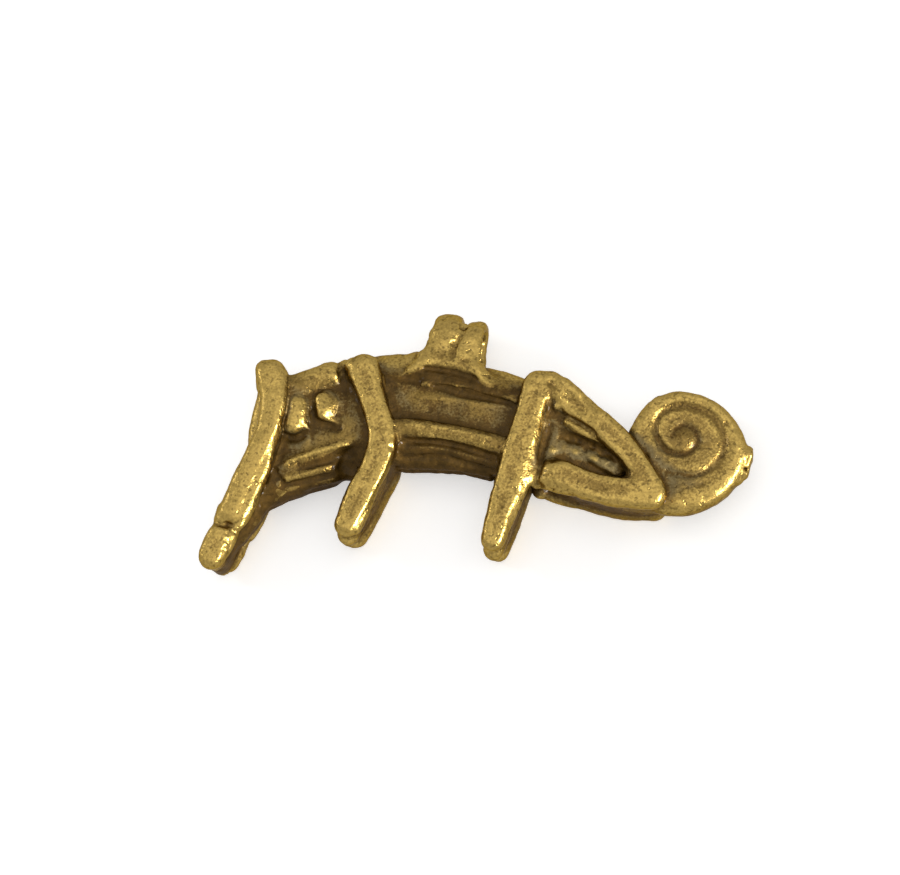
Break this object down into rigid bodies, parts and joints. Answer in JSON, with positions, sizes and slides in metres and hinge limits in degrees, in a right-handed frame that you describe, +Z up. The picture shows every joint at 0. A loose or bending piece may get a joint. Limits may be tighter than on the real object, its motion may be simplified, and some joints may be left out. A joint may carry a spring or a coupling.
{
  "type": "chameleon amulet pendant",
  "caption": "Cast brass amulet shaped as a chameleon with a coiled tail, hung from a cord eye on its back.",
  "frame": {"origin": "on the table, under the middle of the outline", "axes": "+X from the snout to the tail, +Y from the feet to the back, +Z up, out of the left flank; it lies on its right flank"},
  "size_m": [0.0546, 0.026, 0.0077],
  "materials": {
    "rubbed_brass": "worn bright by rubbing, with fine pores",
    "brass": "dull, with fine pores and some brown",
    "browned_brass": "brown and grey-green patina in the recesses"
  },
  "bodies": {
    "root": {"casting_gate_stub": "rubbed_brass", "cord_eye_front_thread": "rubbed_brass", "cord_eye_rear_thread": "rubbed_brass", "forefoot_web": "browned_brass", "head_core": "browned_brass", "hindfoot_web": "browned_brass", "left_belly_thread": "brass", "left_crest_bar": "rubbed_brass", "left_eye_front_lobe": "rubbed_brass", "left_eye_rear_lobe": "rubbed_brass", "left_eye_thread": "browned_brass", "left_foreleg": "rubbed_brass", "left_haunch_strip": "rubbed_brass", "left_haunch_thread": "brass", "left_hind_leg": "rubbed_brass", "left_jaw_thread": "brass", "left_lower_lip_thread": "brass", "left_lower_rib": "brass", "left_middle_rib": "brass", "left_nape_roll": "brass", "left_saddle": "browned_brass", "left_snout_pellet": "rubbed_brass", "left_upper_lip_thread": "brass", "left_upper_rib": "brass", "right_belly_thread": "brass", "right_crest_bar": "rubbed_brass", "right_eye_front_lobe": "rubbed_brass", "right_eye_rear_lobe": "rubbed_brass", "right_eye_thread": "browned_brass", "right_foreleg": "rubbed_brass", "right_haunch_strip": "rubbed_brass", "right_haunch_thread": "brass", "right_hind_leg": "rubbed_brass", "right_jaw_thread": "brass", "right_lower_lip_thread": "brass", "right_lower_rib": "brass", "right_middle_rib": "brass", "right_nape_roll": "brass", "right_saddle": "browned_brass", "right_snout_pellet": "rubbed_brass", "right_upper_lip_thread": "brass", "right_upper_rib": "brass", "tail_coil": "brass", "trunk_core": "browned_brass"}
  },
  "joints": []
}
